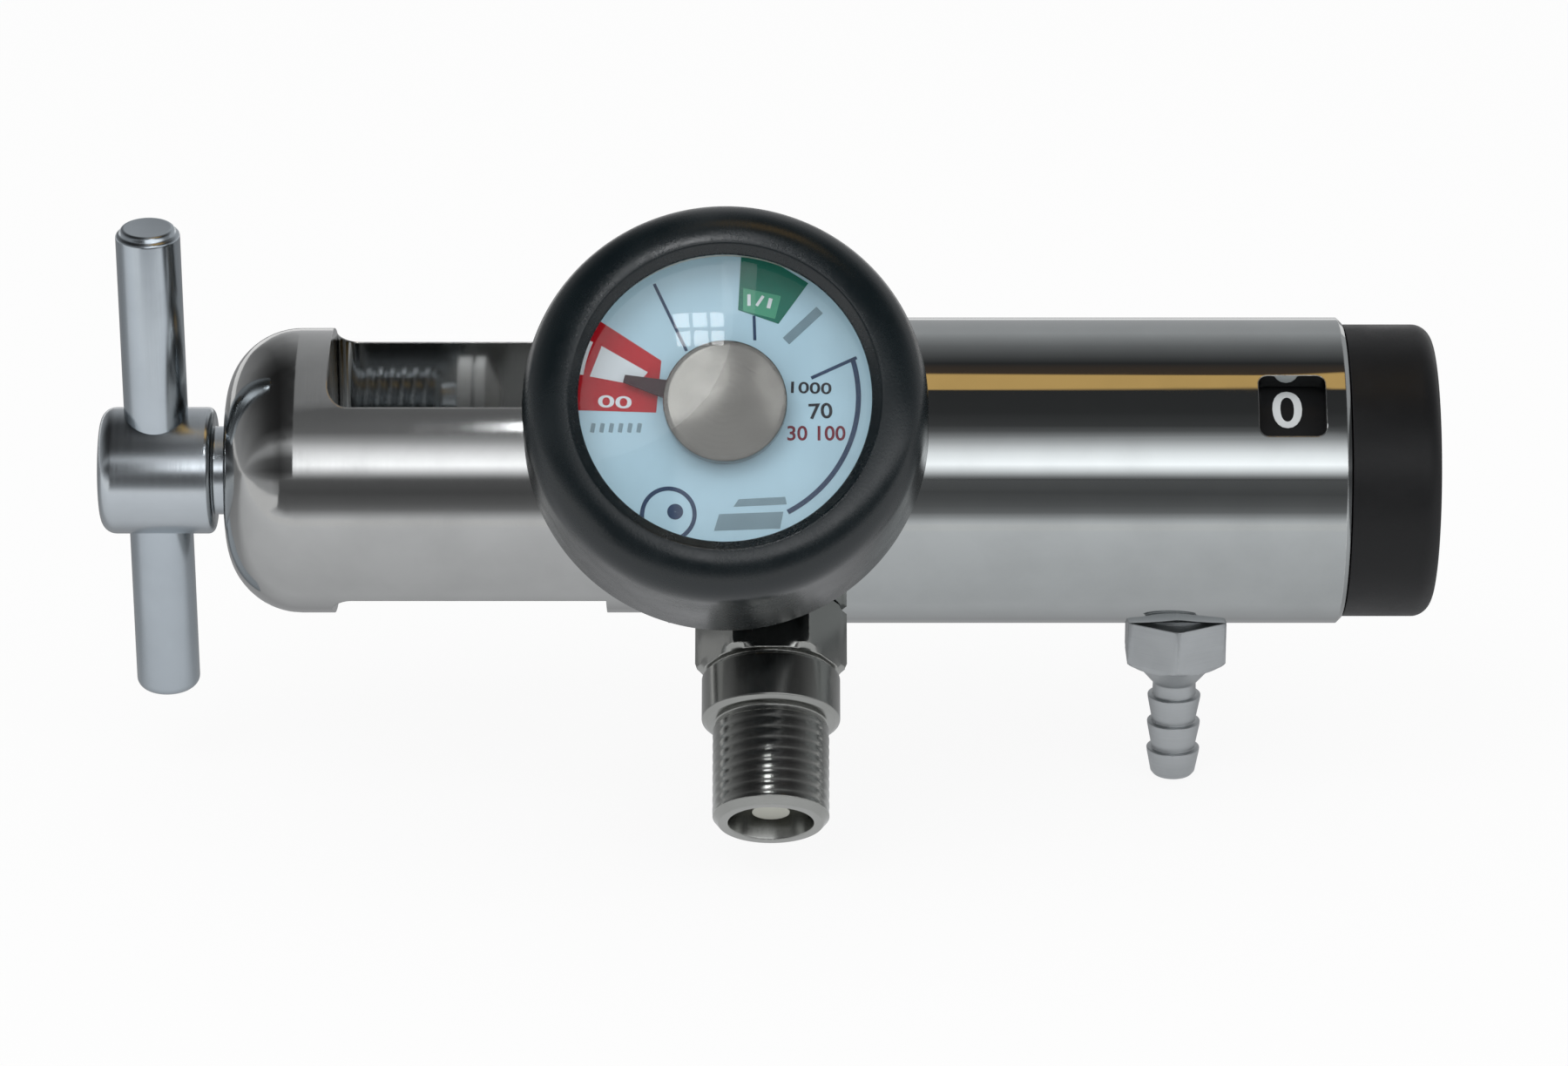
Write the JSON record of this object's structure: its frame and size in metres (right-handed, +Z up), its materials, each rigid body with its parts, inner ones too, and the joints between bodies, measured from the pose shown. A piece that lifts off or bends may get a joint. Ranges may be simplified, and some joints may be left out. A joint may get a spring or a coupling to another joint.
{
  "type": "oxygen flow regulator",
  "caption": "Barrel-shaped oxygen flow regulator with a pin-index yoke and tee screw, a contents gauge in a rubber boot, a threaded check outlet, a hose barb and a rotary flow knob.",
  "frame": {"origin": "centre of the sealing face round the inlet nipple, on the barrel's axis", "axes": "+X along the barrel from the tee handle to the knob, +Z up as it hangs on a cylinder valve, the gauge faces -Y"},
  "size_m": [0.1656, 0.0661, 0.0818],
  "materials": {
    "yoke_metal": "polished",
    "fitting_metal": "polished",
    "steel": "satin",
    "brass": "satin",
    "aluminium": "brushed",
    "rubber": "matte",
    "seal_plastic": "matte",
    "black_plastic": "satin",
    "dial_paint": "satin",
    "pointer_paint": "matte",
    "lens": "clear"
  },
  "bodies": {
    "regulator": {"barb_seal": "seal_plastic", "barrel": "yoke_metal", "bezel": "steel", "boot": "rubber", "bourdon_coil": "brass", "detent_ball": "steel", "detent_spring": "steel", "dial": "dial_paint", "dial_spacer": "seal_plastic", "flow_block": "brass", "flow_block_seal": "rubber", "front_index_pin": "steel", "gauge_case": "steel", "gauge_seal": "seal_plastic", "gauge_stem": "brass", "hose_barb": "fitting_metal", "inlet_filter": "brass", "inlet_nipple": "brass", "lens": "lens", "orifice_seal": "rubber", "outlet_body": "fitting_metal", "outlet_seal": "seal_plastic", "outlet_seat": "brass", "piston_spring": "steel", "piston_stem_seal": "rubber", "poppet_spring": "steel", "rear_index_pin": "steel", "retaining_ring": "steel", "spindle_seal": "rubber", "valve_nozzle": "brass", "washer_band": "brass", "washer_seal": "rubber", "yoke_body": "yoke_metal"},
    "pad": {"swivel_pad": "steel"},
    "tee": {"tee_screw": "steel", "tee_bar": "steel", "pad_clip": "steel"},
    "selector": {"knob": "black_plastic", "knob_cap": "black_plastic", "knob_screw": "steel", "number_ring": "black_plastic", "spindle": "brass", "orifice_disc": "brass", "disc_nut": "steel"},
    "needle": {"pointer": "pointer_paint", "pointer_cap": "aluminium", "pointer_arbor": "brass"},
    "check_poppet": {"outlet_poppet": "brass", "poppet_seal": "rubber"},
    "piston_group": {"piston": "aluminium", "piston_seat": "seal_plastic", "piston_head_seal": "rubber"}
  },
  "joints": [
    {"name": "screw_advance", "type": "slide", "parent": "regulator", "child": "pad", "axis": [1, 0, 0], "range_m": [-0.0165, 0]},
    {"name": "tee_turn", "type": "hinge", "parent": "pad", "child": "tee", "pos_m": [-0.05, 0, 0], "axis": [1, 0, 0], "range_deg": [-3960, 0]},
    {"name": "knob_turn", "type": "hinge", "parent": "regulator", "child": "selector", "pos_m": [0.09, 0, 0], "axis": [1, 0, 0], "range_deg": [0, 330]},
    {"name": "needle_swing", "type": "hinge", "parent": "regulator", "child": "needle", "pos_m": [0.015, 0, 0], "axis": [0, -0.848, 0.5299], "range_deg": [-195, 15], "stiffness_Nm_per_rad": 0.00002, "deforming": ["bourdon_coil"]},
    {"name": "poppet_push", "type": "slide", "parent": "regulator", "child": "check_poppet", "axis": [0, 0.7071, 0.7071], "range_m": [0, 0.0025], "stiffness_N_per_m": 400, "springref_m": -0.003, "deforming": ["poppet_spring"]},
    {"name": "piston_travel", "type": "slide", "parent": "regulator", "child": "piston_group", "axis": [1, 0, 0], "range_m": [-0.001, 0], "stiffness_N_per_m": 5000, "springref_m": 0.002, "deforming": ["piston_spring"]}
  ],
  "couplings": [
    {"joint": "tee_turn", "follows": "screw_advance", "rad_per_m": 4188.8}
  ]
}
